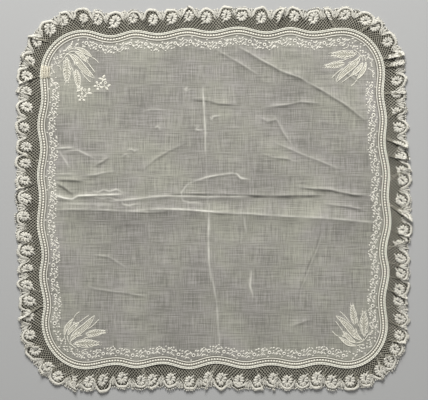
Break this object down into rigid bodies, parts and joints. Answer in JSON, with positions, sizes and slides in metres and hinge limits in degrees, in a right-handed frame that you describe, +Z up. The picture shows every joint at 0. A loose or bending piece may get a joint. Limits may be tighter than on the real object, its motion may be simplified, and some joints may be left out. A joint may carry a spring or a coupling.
{
  "type": "lace handkerchief",
  "caption": "Square cloth handkerchief of sheer lawn with rounded corners, a wavy corded hem and a gathered lace edging, laid out flat.",
  "frame": {"origin": "on the surface it lies on, under the middle of its bounding box", "axes": "+Z up out of the cloth's right side, +X along its longer way, +Y along its other way"},
  "size_m": [0.3972, 0.3858, 0.005],
  "materials": {
    "lawn": "matte, sheer",
    "lace_edging": "matte"
  },
  "bodies": {
    "root": {"lawn": "lawn", "lace_edging": "lace_edging"}
  },
  "joints": []
}
